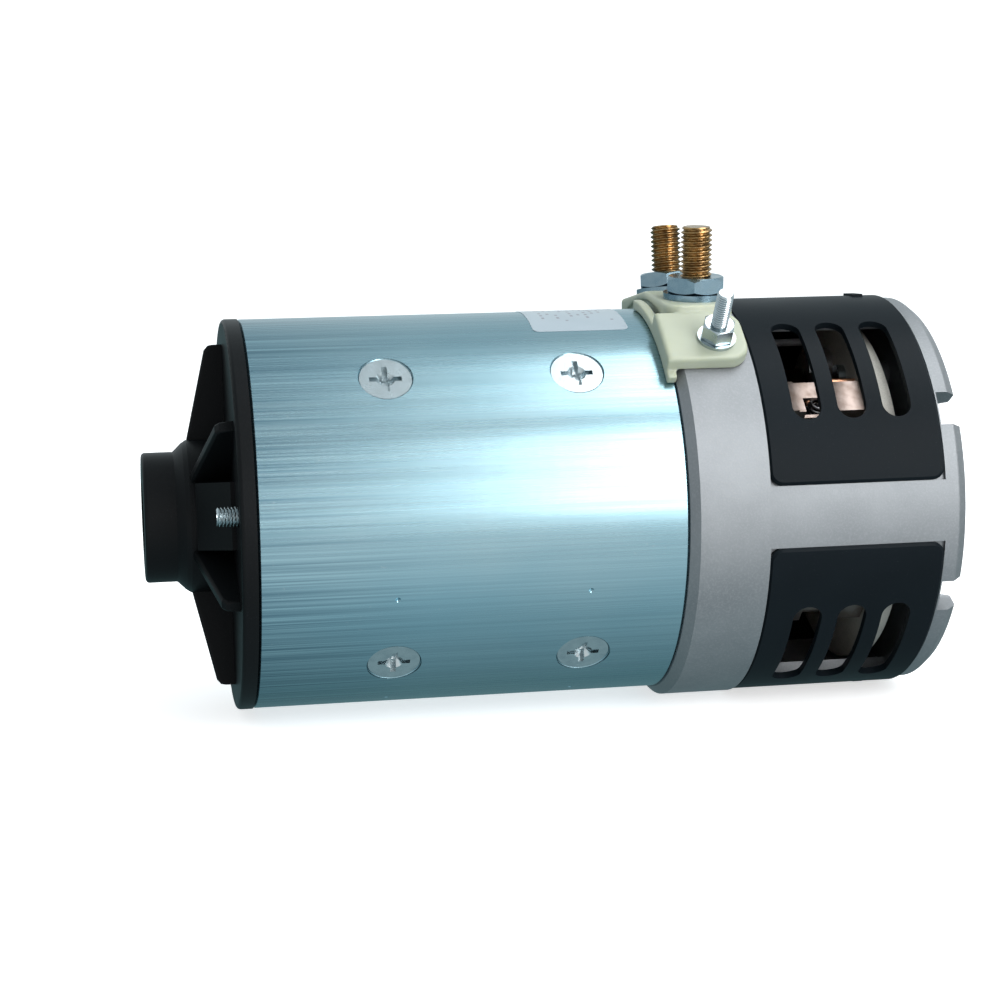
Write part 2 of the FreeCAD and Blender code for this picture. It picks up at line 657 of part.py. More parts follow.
# ---- brush gear -------------------------------------------------------------------------------------------------
BRUSH_TURNS = [45, 135, 225, 315]
PLATE_TURNS = [15, 105, 195, 285]
NOTCH_TURNS = [side + turn for side in (0, 180) for turn in (60.6, 116.2)]


def build_brush_plate():
    end = "plate_start + plate_thickness"
    ring = tube("plate_ring", 54, 26, "plate_start", "plate_thickness")
    bolt_hole = rod("plate_bolt_hole", "bolt_radius + 0.6", 180, 20, 0, "bolt_circle")
    screw_hole = rod("plate_screw_hole", 2.1, 180, 20, 0, "plate_screw_circle")
    node(cut("plate", ring, copies("plate_bolt_holes", bolt_hole, BOLT_TURNS),
             copies("plate_screw_holes", screw_hole, PLATE_TURNS)), "brush_plate")
    screw = fuse("plate_screw", rod("plate_screw_shank", 1.6, "plate_start", 11, 0, "plate_screw_circle"),
                 rod("plate_screw_head", 3.6, "plate_start - 2.4", 2.4, 0, "plate_screw_circle"))
    node(copies("plate_screws", screw, PLATE_TURNS), "brush_plate_screws")


def build_brush_holders():
    """A brass box on each radial line, open towards the commutator, with a slit for the brush lead."""
    wall = "holder_wall"
    room = 0.1
    start = f"brush_start - {room}"
    end = f"brush_start + brush_length + {room}"
    width = f"brush_width + 2 * ({wall} + {room})"
    outer = block("holder_outer", f"{start} - {wall}", f"{end} + {wall}", width, "holder_bottom", "holder_top")
    inner = block("holder_inner", start, end, f"brush_width + 2 * {room}", 0, f"holder_top - {wall}")
    strap = block("holder_strap", f"{start} - {wall}", "brush_start + 3.2", width, "holder_top - 0.1",
                  "holder_top + 0.7")
    foot = block("holder_foot", f"{end} + {wall} - 0.1", "plate_start", 16, 28, 44)
    slit = block("holder_slit", "brush_start + 9", "brush_start + 15", 14, 30, "holder_top - 2", 7)
    window = block("holder_window", "brush_start + 5.5", "brush_start + 12.5", 8, "holder_top - 3",
                   "holder_top + 3", -4.4)
    holder = cut("holder", fuse("holder_with_foot", outer, strap, foot), inner, slit, window)
    node(copies("holders", holder, BRUSH_TURNS), "brush_holders")


def build_brushes():
    end = "brush_start + brush_length"
    blank = block("brush_blank", "brush_start", end, "brush_width", 18, "brush_top")
    eased = rounded("brush_eased", blank, 0.5, lambda edge: edge.BoundBox.ZMin > value("brush_top") - 0.01,
                    "Part::Chamfer")
    brush = cut("brush", eased, rod("brush_face", "brush_bottom", "brush_start - 5", "brush_length + 10"))
    middle = "brush_start + brush_length / 2"
    coil = cut("spring_sleeve", post("spring_outside", 3.6, middle, "brush_top", "holder_top - holder_wall"),
               post("spring_inside", 2.6, middle, 30, 60))
    side = "brush_width / 2 + 6"
    lead_end = fuse("brush_lead",
                    rod_across("lead_out", 1, middle, "brush_width / 2", 6, 34),
                    bead("lead_lower_bend", 1, middle, side, 34),
                    post("lead_up", 1, middle, 34, 41, side),
                    bead("lead_upper_bend", 1, middle, side, 41),
                    rod("lead_back", 1, middle, f"plate_start - ({middle})", side, 41))
    for number, turn in enumerate(BRUSH_TURNS, 1):
        node(copies(f"brush_at_{number}", brush, [turn]), f"brush_{number}")
        node(copies(f"spring_at_{number}", coil, [turn]), f"brush_spring_{number}")
        node(copies(f"lead_at_{number}", lead_end, [turn]), f"brush_lead_{number}")


# ---- through bolts ----------------------------------------------------------------------------------------------
def build_bolts():
    head_start = "bolt_seat + 1"
    thread = rod("bolt_thread", "bolt_radius", "bolt_tip", "-bolt_tip - 0.2", 0, "bolt_circle")
    shank = rod("bolt_shank", "bolt_radius - shank_relief", -1, f"{head_start} + 1", 0, "bolt_circle")
    head = doc.addObject("Part::Prism", "bolt_head")
    head.Polygon = 6
    head.Placement = FreeCAD.Placement(FreeCAD.Vector(value(head_start), 0, value("bolt_circle")),
                                       FreeCAD.Rotation(Y_AXIS, 90))
    bind(head, {"Circumradius": "bolt_head_flats / sqrt(3)", "Height": "bolt_head_height",
                "Placement.Base.x": head_start, "Placement.Base.z": "bolt_circle"})
    tip = rounded("bolt_eased", thread, 0.6, lambda edge: edge.BoundBox.XMax < value("bolt_tip") + 0.01,
                  "Part::Chamfer")
    node(copies("bolts", fuse("bolt", tip, shank, head), BOLT_TURNS), "through_bolts")
    washer = cut("bolt_washer", rod("bolt_washer_disc", 5.6, "bolt_seat", 1, 0, "bolt_circle"),
                 rod("bolt_washer_hole", "bolt_radius + 0.2", "bolt_seat - 1", 3, 0, "bolt_circle"))
    node(copies("washers_under_bolts", washer, BOLT_TURNS), "bolt_washers")


# ---- terminals --------------------------------------------------------------------------------------------------
def leaned(name, source, sides=(-1, 1)):
    """Copies of a piece that stands at the top of the axis, on the two leaning terminal seats."""
    links = []
    for side in sides:
        link = doc.addObject("App::Link", f"{name}_copy")
        link.setLink(source)
        link.LinkTransform = True
        seat = FreeCAD.Vector(0, side * value("stud_spacing / 2"), value("seat_height"))
        lean = FreeCAD.Rotation(X_AXIS, -side * value("stud_lean"))
        link.Placement = (FreeCAD.Placement(seat, lean)
                          * FreeCAD.Placement(FreeCAD.Vector(0, 0, -value("seat_height")), FreeCAD.Rotation()))
        links.append(link)
    return group(name, *links)


def build_terminal_block():
    """A saddle with two leaning seats for the studs, and a pad on its near side for the sensor stud."""
    under = "band_radius + 0.1"
    outline = rounded("block_outline", block("block_box", "block_start", "block_end", "block_width", 45, CLEAR, 1),
                      5, lambda edge: edge.BoundBox.ZLength > 5 and edge.BoundBox.XLength < 0.01)
    room = block("block_room", 120, 170, 100, "seat_height", 90, 0)
    table = cut("block_table", outline, *leaned("block_rooms", room).Links)
    table_eased = rounded("block_table_eased", table, 1.2, lambda edge: edge.CenterOfMass.z > 60
                          and edge.BoundBox.ZLength < 5)
    over_band = cut("block_over_band", table_eased, rod("block_band", under, 120, 80))
    plug_ring = cut("block_plug_ring", rod("block_plug_limit", "band_radius + 0.6", 120, 60),
                    rod("block_plug_floor", "yoke_radius - yoke_wall + 0.1", 110, 80))
    plug = common("block_plug", block("block_plug_box", "yoke_start + yoke_length + 2.3", "block_end - 0.2", 80, 40,
                                      CLEAR), wedge("block_plug_slice", CLEAR, 120, 40, 57), plug_ring)
    pad_box = block("pad_box", "pad_start", "pad_end", 21.6, 40, "pad_top", 2.2)
    pad_cornered = rounded("pad_cornered", pad_box, 6.5, lambda edge: edge.BoundBox.ZLength > 5
                           and edge.BoundBox.XMin > value("pad_end") - 0.01)
    pad_eased = rounded("pad_eased", pad_cornered, 1.1,
                        lambda edge: edge.BoundBox.ZMin > value("pad_top") - 0.01)
    pad_ring = cut("pad_ring", copies("pad", pad_eased, [sensor_turn()]), rod("pad_band", under, 131.4, 80),
                   rod("pad_yoke", "yoke_radius + 0.15", 100, 80))
    lip = cut("lip", wedge("lip_slice", "yoke_radius + 3.2", "pad_start", "yoke_start + yoke_length - 0.1 - pad_start",
                           45),
              rod("lip_yoke", "yoke_radius + 0.15", 120, 20))
    boss = copies("sensor_boss", post("sensor_boss_post", 6.85, "sensor_place", 59, 65), [sensor_turn()])
    whole = fuse("block_whole", over_band, plug, pad_ring, copies("lip_turned", lip, [26.5]), boss)
    stud_hole = post("block_stud_hole", "stud_radius + 0.1", "stud_place", 40, CLEAR)
    sensor_hole = post("block_sensor_hole", "sensor_radius + 0.1", "sensor_place", 40, 80)
    node(cut("block", whole, leaned("block_stud_holes", stud_hole),
             copies("block_sensor_holes", sensor_hole, [sensor_turn()])), "terminal_block")


def sensor_turn():
    return value("sensor_angle") - TOP


def build_studs():
    """Two studs, each with a washer and a thin nut above the block and a hexagon head below it."""
    top = "seat_height + stud_washer_height"
    bare = f"{top} + stud_nut_height + 0.2"
    studs, nuts = [], []
    for side, turn in ((-1, 13), (1, 15)):
        where = "near" if side < 0 else "far"
        thread = rounded(f"{where}_stud_eased",
                         post(f"{where}_stud_thread", "stud_radius", "stud_place", bare, "stud_tip"), 0.9,
                         lambda edge: edge.BoundBox.ZMin > value("stud_tip") - 0.01, "Part::Chamfer")
        shank = post(f"{where}_stud_shank", "stud_radius - shank_relief", "stud_place", 46, f"{bare} + 1")
        head = hexagon(f"{where}_stud_head", 15, "stud_place", 44, 49, 0, turn)
        studs += leaned(f"{where}_stud", fuse(f"{where}_stud_body", thread, shank, head), [side]).Links
        blank = hexagon(f"{where}_nut", "stud_nut_flats", "stud_place", top, f"{top} + stud_nut_height", 0, turn)
        hole = post(f"{where}_nut_hole", "stud_radius - shank_relief + 0.02", "stud_place", 50, 80)
        nuts += leaned(f"{where}_nut_seated", cut(f"{where}_nut_drilled", blank, hole), [side]).Links
    washer = cut("washer_drilled", post("washer", "stud_washer_radius", "stud_place", "seat_height", top),
                 post("washer_hole", "stud_radius + 0.25", "stud_place", 50, 80))
    node(group("studs", *studs), "terminal_studs")
    node(group("nuts", *nuts), "terminal_nuts")
    node(leaned("washers", washer), "terminal_washers")


def build_sensor_terminal():
    washer_top = "pad_top + sensor_washer_height"
    nut_top = f"{washer_top} + sensor_nut_height"
    bare = f"{nut_top} + 0.2"
    thread = rounded("sensor_eased", post("sensor_thread", "sensor_radius", "sensor_place", bare, "sensor_tip"), 0.5,
                     lambda edge: edge.BoundBox.ZMin > value("sensor_tip") - 0.01, "Part::Chamfer")
    shank = post("sensor_shank", "sensor_radius - shank_relief", "sensor_place", 57, f"{bare} + 1")
    stud = fuse("sensor_body", thread, shank, post("sensor_head", 5.2, "sensor_place", 55.6, 58.9))
    turn = [sensor_turn()]
    node(copies("sensor_stud_turned", stud, turn), "sensor_stud")
    nut = cut("sensor_nut_drilled",
              hexagon("sensor_nut_blank", "sensor_nut_flats", "sensor_place", washer_top, nut_top, 0, 12),
              post("sensor_nut_hole", "sensor_radius - shank_relief + 0.02", "sensor_place", 50, 80))
    node(copies("sensor_nut_turned", nut, turn), "sensor_nut")
    washer = cut("sensor_washer_drilled",
                 post("sensor_washer_disc", "sensor_washer_radius", "sensor_place", "pad_top", washer_top),
                 post("sensor_washer_hole", "sensor_radius + 0.15", "sensor_place", 50, 80))
    node(copies("sensor_washer_turned", washer, turn), "sensor_washer")


def build_thermal_switch():
    """A round bimetal switch on the brush plate, and its lead round to the head of the sensor stud."""
    turn = -8
    lead_radius = 1.2
    lug_end = "plate_start - 6.5"
    can = fuse("switch_body", rod("switch_can", 6, "plate_start - 5", 5, 0, 40),
               block("switch_lug", lug_end, "plate_start - 5", 4, 38, 49.2))
    node(copies("switch", can, [turn]), "thermal_switch")
    corner = 157.5
    along = rod("lead_along", lead_radius, corner, f"{lug_end} - {corner}", 0, 48)
    spread = sensor_turn() - turn
    ring = cut("lead_ring", wedge("lead_ring_slice", f"48 + {lead_radius}", f"{corner} - {lead_radius}",
                                  2 * lead_radius, spread), rod("lead_ring_inside", f"48 - {lead_radius}", 140, 40))
    back = rod("lead_back_run", lead_radius, "sensor_place", f"{corner} - sensor_place", 0, 48)
    rise = post("lead_rise", lead_radius, "sensor_place", 48, 55.6)
    bends = [bead(f"lead_bend_{index}", lead_radius, place, 0, 48)
             for index, place in enumerate((corner, "sensor_place"))]
    near = copies("lead_near", fuse("lead_near_run", back, rise, *bends), [sensor_turn()])
    far = copies("lead_far", fuse("lead_far_run", along, bends[0]), [turn])
    middle = copies("lead_middle", ring, [turn + spread / 2])
    node(fuse("switch_lead", far, middle, near), "thermal_switch_lead")


def build_label():
    paper = cut("label_paper", wedge("label_slice", "yoke_radius + 0.12", 92.6, 29.6, 42),
                rod("label_back", "yoke_radius + 0.01", 80, 60))

    def corner(edge):
        return edge.BoundBox.XLength < 0.01 and edge.Length < 0.2

    node(copies("label", rounded("label_cornered", paper, 2, corner), [3]), "rating_label")


def main():
    build_yoke()
    build_poles()
    build_pole_screws()
    build_field_coils()
    build_field_connectors()
    build_drive_end_shield()
    build_shaft_seal()
    build_retaining_ring()
    build_bearing("drive_bearing", "front_bearing_outer", "front_bearing_bore", "front_bearing_start",
                  "front_bearing_width", "front_ball_circle", 8)
    build_shaft()
    build_core()
    build_windings()
    build_commutator()
    build_housing()
    build_bearing("rear_bearing", "rear_bearing_outer", "rear_bearing_bore", "rear_bearing_start",
                  "rear_bearing_width", "rear_ball_circle", 7)
    build_wave_washer()
    build_vent_covers()
    build_brush_plate()
    build_brush_holders()
    build_brushes()
    build_bolts()
    build_terminal_block()
    build_studs()
    build_sensor_terminal()
    build_thermal_switch()
    build_label()
    doc.recompute()
    check_and_write()


def check_and_write():
    failed = [thing.Name for thing in doc.Objects if {"Invalid", "Error"} & set(thing.State)]
    failed += [thing.Label for thing in nodes if thing.Shape.isNull() or not thing.Shape.isValid()]
    if failed:
        raise SystemExit(f"failed: {failed}")
    os.makedirs("parts", exist_ok=True)
    for thing in nodes:
        thing.Shape.exportStep(f"parts/{thing.Label}.step")
        print(f"{thing.Label}: {len(thing.Shape.Solids)} solids, {thing.Shape.Volume:.0f} mm3")


main()
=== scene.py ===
"""Looks for the direct-current pump motor: finishes, threads, soft and flexible parts, studio and camera.

Lengths are written in millimetres and turned into metres with MM. The frame has X along the motor's axis
towards the commutator end and Z up; "turn" is an angle about X, 0 at the top and positive towards the near
side, -Y.
"""
import math

import bpy
import numpy as np
from mathutils import Matrix, Vector


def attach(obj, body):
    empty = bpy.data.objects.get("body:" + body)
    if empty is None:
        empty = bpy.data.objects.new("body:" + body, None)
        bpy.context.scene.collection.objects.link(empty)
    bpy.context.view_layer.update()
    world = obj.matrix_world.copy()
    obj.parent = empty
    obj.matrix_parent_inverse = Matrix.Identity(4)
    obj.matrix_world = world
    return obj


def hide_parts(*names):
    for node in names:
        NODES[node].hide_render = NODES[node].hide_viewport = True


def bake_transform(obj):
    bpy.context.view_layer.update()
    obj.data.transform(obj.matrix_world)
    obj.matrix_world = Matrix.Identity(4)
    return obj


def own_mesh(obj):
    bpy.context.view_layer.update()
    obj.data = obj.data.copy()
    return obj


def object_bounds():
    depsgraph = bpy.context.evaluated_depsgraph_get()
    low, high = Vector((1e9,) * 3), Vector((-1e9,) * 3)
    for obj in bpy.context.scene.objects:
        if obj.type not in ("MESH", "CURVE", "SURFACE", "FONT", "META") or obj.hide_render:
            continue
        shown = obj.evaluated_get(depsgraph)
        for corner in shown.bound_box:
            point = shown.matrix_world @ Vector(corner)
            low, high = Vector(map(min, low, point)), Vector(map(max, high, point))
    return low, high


MM = 0.001
TAU = 2 * math.pi
SIDES = 72  # round a threaded piece; a multiple of six, so that hexagon corners fall on vertices

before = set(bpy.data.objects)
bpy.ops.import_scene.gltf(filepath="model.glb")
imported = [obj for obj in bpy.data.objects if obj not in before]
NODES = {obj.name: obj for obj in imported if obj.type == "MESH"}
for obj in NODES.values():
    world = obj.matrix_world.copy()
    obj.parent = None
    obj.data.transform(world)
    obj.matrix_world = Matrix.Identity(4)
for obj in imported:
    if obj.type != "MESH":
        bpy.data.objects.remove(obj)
cad_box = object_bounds()


# ---- node materials ----------------------------------------------------------------------------------
class Finish:
    """A node material round one Principled shader; patterns are in object coordinates, so in metres."""

    def __init__(self, name, **sockets):
        self.material = bpy.data.materials.new(name)
        self.material.use_nodes = True
        self.tree = self.material.node_tree
        self.shader = self.tree.nodes["Principled BSDF"]
        self.where = self.add("TexCoord", output="Object")
        for socket, value in sockets.items():
            self.feed(self.shader.inputs[socket.replace("_", " ")], value)

    def feed(self, socket, value):
        if isinstance(value, bpy.types.NodeSocket):
            self.tree.links.new(value, socket)
        elif socket.type == "RGBA" and len(value) == 3:
            socket.default_value = (*value, 1)
        else:
            socket.default_value = value

    def add(self, kind, inputs=None, output=0, **settings):
        node = self.tree.nodes.new("ShaderNode" + kind)
        for name, value in settings.items():
            setattr(node, name, value)
        for socket, value in (inputs or {}).items():
            self.feed(node.inputs[socket], value)
        return node.outputs[output]

    def noise(self, scale, detail=2.0, roughness=0.5, vector=None):
        """Noise from 0 to 1; scale is in waves per metre, for each axis."""
        sized = self.add("Mapping", {"Vector": vector or self.where, "Scale": scale})
        return self.add("TexNoise", {"Vector": sized, "Scale": 1.0, "Detail": detail, "Roughness": roughness})

    def maths(self, operation, first, second=0.0):
        return self.add("Math", {0: first, 1: second}, operation=operation)

    def remap(self, source, low, high, to_low=0.0, to_high=1.0):
        return self.add("MapRange", {"Value": source, "From Min": low, "From Max": high,
                                     "To Min": to_low, "To Max": to_high})

    def shades(self, source, *stops):
        """A colour from a value, by (place, colour) stops."""
        ramp = self.tree.nodes.new("ShaderNodeValToRGB")
        self.feed(ramp.inputs[0], source)
        elements = ramp.color_ramp.elements
        while len(elements) < len(stops):
            elements.new(0.5)
        for element, (place, colour) in zip(elements, stops):
            element.position = place
            element.color = (*colour, 1)
        return ramp.outputs[0]

    def blend(self, amount, first, second, kind="MIX"):
        node = self.tree.nodes.new("ShaderNodeMix")
        node.data_type = "RGBA"
        node.blend_type = kind
        for index, value in ((0, amount), (6, first), (7, second)):
            self.feed(node.inputs[index], value)
        return node.outputs[2]

    def axis(self, index):
        return self.add("SeparateXYZ", {0: self.where}, output=index)

    def bump(self, height, depth, under=None):
        """Relief of the given depth in metres, over another relief if one is given."""
        inputs = {"Height": height, "Distance": depth, "Strength": 1.0}
        if under:
            inputs["Normal"] = under
        relief = self.add("Bump", inputs)
        self.feed(self.shader.inputs["Normal"], relief)
        return relief

    def colour(self, source):
        self.feed(self.shader.inputs["Base Color"], source)

    def rough(self, source, low, high):
        self.feed(self.shader.inputs["Roughness"], self.remap(source, 0.25, 0.75, low, high))


def drawn_zinc():
    """Blue-passivated zinc on a drawn tube, with axial streaks that are strongest at the drive end."""
    skin = Finish("drawn_zinc", Metallic=1.0)
    end = skin.remap(skin.axis(0), 5 * MM, 55 * MM, 1.0, 0.22)
    fine = skin.noise((7, 1500, 1500), 2.0)
    wide = skin.noise((4, 330, 330), 3.0)
    rings = skin.noise((260, 9, 9), 2.0)
    cloud = skin.noise((16, 22, 22), 3.0)
    tint = skin.shades(cloud, (0.3, (0.245, 0.400, 0.460)), (0.7, (0.300, 0.435, 0.480)))
    streak = skin.maths("MULTIPLY", skin.remap(fine, 0.35, 0.65), end)
    streaked = skin.blend(streak, tint, (0.11, 0.20, 0.25))
    speck = skin.noise((900, 900, 900), 1.0)
    skin.colour(skin.blend(skin.remap(speck, 0.72, 0.80, 0.0, 0.3), streaked, (0.38, 0.46, 0.48)))
    streaks = skin.maths("ADD", skin.maths("MULTIPLY", fine, 0.5), skin.maths("MULTIPLY", wide, 0.5))
    skin.rough(streaks, 0.20, 0.34)
    relief = skin.bump(skin.maths("MULTIPLY", fine, end), 7e-6)
    relief = skin.bump(wide, 9e-6, relief)
    skin.bump(rings, 7e-6, relief)
    return skin.material


def satin_black(name, base, roughness, grain, gloss):
    """Black paint or black plastic with a fine grain, a little dust and softly varying gloss."""
    skin = Finish(name, Specular_IOR_Level=gloss)
    cloud = skin.noise((30, 30, 30), 4.0)
    dust = skin.noise((2600, 2600, 2600), 1.0)
    shade = skin.shades(cloud, (0.3, base), (0.75, tuple(1.35 * part for part in base)))
    skin.colour(skin.blend(skin.remap(dust, 0.70, 0.80, 0.0, 0.25), shade, (0.05, 0.053, 0.056)))
    skin.rough(cloud, roughness - 0.05, roughness + 0.06)
    relief = skin.bump(skin.noise((1700, 1700, 1700), 2.0), grain)
    skin.bump(skin.noise((180, 180, 180), 2.0), 4 * grain, relief)
    return skin.material


def cast_aluminium():
    """A shot-blasted die casting: matt, with a fine peened grain and drifting grey."""
    skin = Finish("cast_aluminium", Metallic=0.85)
    cloud = skin.noise((35, 35, 35), 4.0)
    grain = skin.noise((1500, 1500, 1500), 3.0, 0.6)
    shade = skin.shades(cloud, (0.3, (0.195, 0.207, 0.218)), (0.7, (0.245, 0.258, 0.270)))
    skin.colour(skin.blend(skin.remap(grain, 0.45, 0.75, 0.0, 0.45), shade, (0.35, 0.362, 0.373)))
    skin.rough(grain, 0.50, 0.66)
    relief = skin.bump(grain, 22e-6)
    skin.bump(skin.noise((240, 240, 240), 2.0), 45e-6, relief)
    return skin.material


def nylon():
    """Natural nylon: cream with a green cast, slightly translucent, with a softly moulded surface."""
    skin = Finish("nylon", Subsurface_Weight=0.35, Subsurface_Scale=2.5 * MM, IOR=1.53)
    skin.shader.inputs["Subsurface Radius"].default_value = (1.0, 0.9, 0.55)
    cloud = skin.noise((70, 70, 70), 3.0)
    skin.colour(skin.shades(cloud, (0.3, (0.315, 0.345, 0.265)), (0.7, (0.365, 0.39, 0.30))))
    skin.rough(cloud, 0.40, 0.52)
    relief = skin.bump(skin.noise((900, 900, 900), 2.0), 8e-6)
    skin.bump(skin.noise((130, 130, 130), 1.0), 60e-6, relief)
    return skin.material


def plated(name, base, roughness, tarnish, amount):
    """A plated or bare metal with fine working marks and patches of tarnish."""
    skin = Finish(name, Metallic=1.0)
    cloud = skin.noise((320, 320, 320), 4.0)
    fine = skin.noise((2600, 2600, 2600), 2.0)
    skin.colour(skin.blend(skin.remap(cloud, 0.42, 0.72, 0.0, amount), base, tarnish))
    skin.rough(cloud, roughness, roughness + 0.14)
    relief = skin.bump(fine, 4e-6)
    skin.bump(cloud, 12e-6, relief)
    return skin.material


def turned_metal(name, base, roughness, pitch, depth):
    """Metal turned or ground about the axis: fine rings at the given pitch."""
    skin = Finish(name, Metallic=1.0)
    rings = skin.noise((1 / pitch, 12, 12), 2.0)
    cloud = skin.noise((90, 90, 90), 3.0)
    skin.colour(skin.shades(cloud, (0.3, tuple(0.82 * part for part in base)), (0.7, base)))
    skin.rough(rings, roughness, roughness + 0.12)
    skin.bump(rings, depth)
    return skin.material


def commutator_copper():
    """Copper bars with the dark brown film that the brushes leave on their track."""
    skin = Finish("commutator_copper", Metallic=1.0)
    place = skin.axis(0)
    track = skin.maths("MULTIPLY", skin.remap(place, 166 * MM, 169 * MM),
                       skin.remap(place, 193 * MM, 195 * MM, 1.0, 0.0))
    rings = skin.noise((3800, 8, 8), 2.0)
    film = skin.maths("MULTIPLY", track, skin.remap(rings, 0.2, 0.7, 0.55, 0.95))
    skin.colour(skin.blend(film, (0.60, 0.29, 0.17), (0.13, 0.065, 0.045)))
    skin.rough(rings, 0.24, 0.40)
    skin.bump(rings, 6e-6)
    return skin.material


def laminations():
    """A stack of stamped steel sheets, seen as fine lines across the axis."""
    skin = Finish("laminations", Metallic=1.0)
    phase = skin.maths("FRACT", skin.maths("MULTIPLY", skin.axis(0), 1 / (0.65 * MM)))
    sheet = skin.remap(skin.maths("ABSOLUTE", skin.maths("SUBTRACT", phase, 0.5)), 0.30, 0.48, 1.0, 0.0)
    cloud = skin.noise((120, 120, 120), 4.0)
    shade = skin.shades(cloud, (0.3, (0.17, 0.17, 0.18)), (0.7, (0.30, 0.29, 0.28)))
    skin.colour(skin.blend(sheet, (0.06, 0.06, 0.065), shade))
    skin.rough(cloud, 0.42, 0.60)
    skin.bump(sheet, 60e-6)
    return skin.material


def wound_copper():
    """Enamelled copper bars under varnish, laid side by side round the axis."""
    skin = Finish("wound_copper", Metallic=0.6, Coat_Weight=0.6, Coat_Roughness=0.18)
    turn = skin.maths("ARCTAN2", skin.axis(1), skin.axis(2))
    slant = skin.maths("MULTIPLY", skin.axis(0), 420.0)
    phase = skin.maths("FRACT", skin.add("Math", {0: turn, 1: 50 / TAU, 2: slant}, operation="MULTIPLY_ADD"))
    bar = skin.remap(skin.maths("ABSOLUTE", skin.maths("SUBTRACT", phase, 0.5)), 0.28, 0.48, 1.0, 0.0)
    cloud = skin.noise((140, 140, 140), 3.0)
    shade = skin.shades(cloud, (0.3, (0.26, 0.085, 0.03)), (0.7, (0.42, 0.16, 0.06)))
    skin.colour(skin.blend(bar, (0.05, 0.02, 0.012), shade))
    skin.rough(cloud, 0.30, 0.46)
    skin.bump(bar, 400e-6)
    return skin.material


def wrapped_tape():
    """Half-lapped cotton tape under clear varnish: slanting laps with a fine weave."""
    skin = Finish("wrapped_tape", Coat_Weight=0.35, Coat_Roughness=0.3)
    turn = skin.maths("ARCTAN2", skin.axis(1), skin.axis(2))
    along = skin.maths("MULTIPLY", skin.axis(0), 95.0)
    lap = skin.maths("FRACT", skin.add("Math", {0: turn, 1: 3.5, 2: along}, operation="MULTIPLY_ADD"))
    weave = skin.maths("MULTIPLY", skin.maths("SINE", skin.maths("MULTIPLY", skin.axis(0), 9000.0)),
                       skin.maths("SINE", skin.maths("MULTIPLY", turn, 420.0)))
    cloud = skin.noise((110, 110, 110), 3.0)
    shade = skin.shades(cloud, (0.3, (0.42, 0.34, 0.22)), (0.7, (0.60, 0.52, 0.38)))
    skin.colour(skin.blend(skin.remap(lap, 0.0, 0.12, 0.55, 0.0), shade, (0.16, 0.11, 0.06)))
    skin.rough(cloud, 0.55, 0.75)
    relief = skin.bump(lap, 350e-6)
    skin.bump(weave, 25e-6, relief)
    return skin.material


def moulded(name, base, roughness, depth):
    """A matt moulding or pressing, such as filled resin, rubber or carbon."""
    skin = Finish(name)
    cloud = skin.noise((150, 150, 150), 4.0)
    grain = skin.noise((2400, 2400, 2400), 2.0)
    skin.colour(skin.blend(skin.remap(grain, 0.35, 0.75, 0.0, 0.5),
                           skin.shades(cloud, (0.3, tuple(0.75 * part for part in base)), (0.7, base)),
                           tuple(min(1.0, 1.3 * part) for part in base)))
    skin.rough(cloud, roughness, roughness + 0.12)
    skin.bump(grain, depth)
    return skin.material


def printed_label():
    """White film with rows of short grey bars that stand for print, and no letters."""
    skin = Finish("printed_label", Coat_Weight=0.4, Coat_Roughness=0.22)
    skin.feed(skin.shader.inputs["IOR"], 1.5)
    across = skin.add("CombineXYZ", {0: skin.axis(1), 1: skin.axis(0), 2: 0.0})
    sized = skin.add("Mapping", {"Vector": across, "Scale": (1000, 1000, 1000)})
    rows = {"Vector": sized, "Color1": (0, 0, 0), "Color2": (1, 1, 1), "Mortar": (1, 1, 1), "Scale": 1.0,
            "Mortar Size": 0.75, "Mortar Smooth": 0.1, "Brick Width": 3.1, "Row Height": 2.35}
    bars = skin.add("TexBrick", rows, offset=0.37, offset_frequency=3)
    ink = skin.remap(bars, 0.35, 0.45, 1.0, 0.0)
    margin = skin.maths("MULTIPLY", skin.remap(skin.axis(0), 95.5 * MM, 95.8 * MM),
                        skin.remap(skin.axis(0), 119.2 * MM, 119.5 * MM, 1.0, 0.0))
    aside = skin.maths("ABSOLUTE", skin.axis(1))
    inside = skin.maths("MULTIPLY", margin, skin.remap(aside, 17.0 * MM, 17.3 * MM, 1.0, 0.0))
    cloud = skin.noise((45, 45, 45), 3.0)
    film = skin.shades(cloud, (0.3, (0.265, 0.32, 0.36)), (0.7, (0.30, 0.355, 0.395)))
    skin.colour(skin.blend(skin.maths("MULTIPLY", ink, inside), film, (0.16, 0.16, 0.18)))
    skin.rough(cloud, 0.34, 0.44)
    skin.bump(skin.noise((700, 700, 700), 2.0), 6e-6)
    return skin.material


BRIGHT_ZINC = plated("bright_zinc", (0.46, 0.52, 0.54), 0.16, (0.33, 0.40, 0.43), 0.7)
BLUE_ZINC = plated("blue_zinc", (0.21, 0.30, 0.35), 0.17, (0.15, 0.24, 0.30), 0.8)
BRONZE = plated("tarnished_bronze", (0.42, 0.27, 0.12), 0.22, (0.12, 0.075, 0.036), 0.85)
TINNED = plated("tinned_brass", (0.25, 0.205, 0.185), 0.30, (0.17, 0.125, 0.10), 0.8)
SPRING_STEEL = plated("spring_steel", (0.45, 0.45, 0.46), 0.25, (0.25, 0.24, 0.24), 0.5)
COPPER = plated("bare_copper", (0.70, 0.36, 0.22), 0.32, (0.36, 0.17, 0.10), 0.7)
GROUND_STEEL = turned_metal("ground_steel", (0.52, 0.52, 0.53), 0.16, 0.35 * MM, 2e-6)
SHAFT_STEEL = turned_metal("shaft_steel", (0.44, 0.44, 0.45), 0.26, 0.25 * MM, 4e-6)
BLACK_CASTING = satin_black("black_casting", (0.0035, 0.0042, 0.0048), 0.38, 10e-6, 0.08)
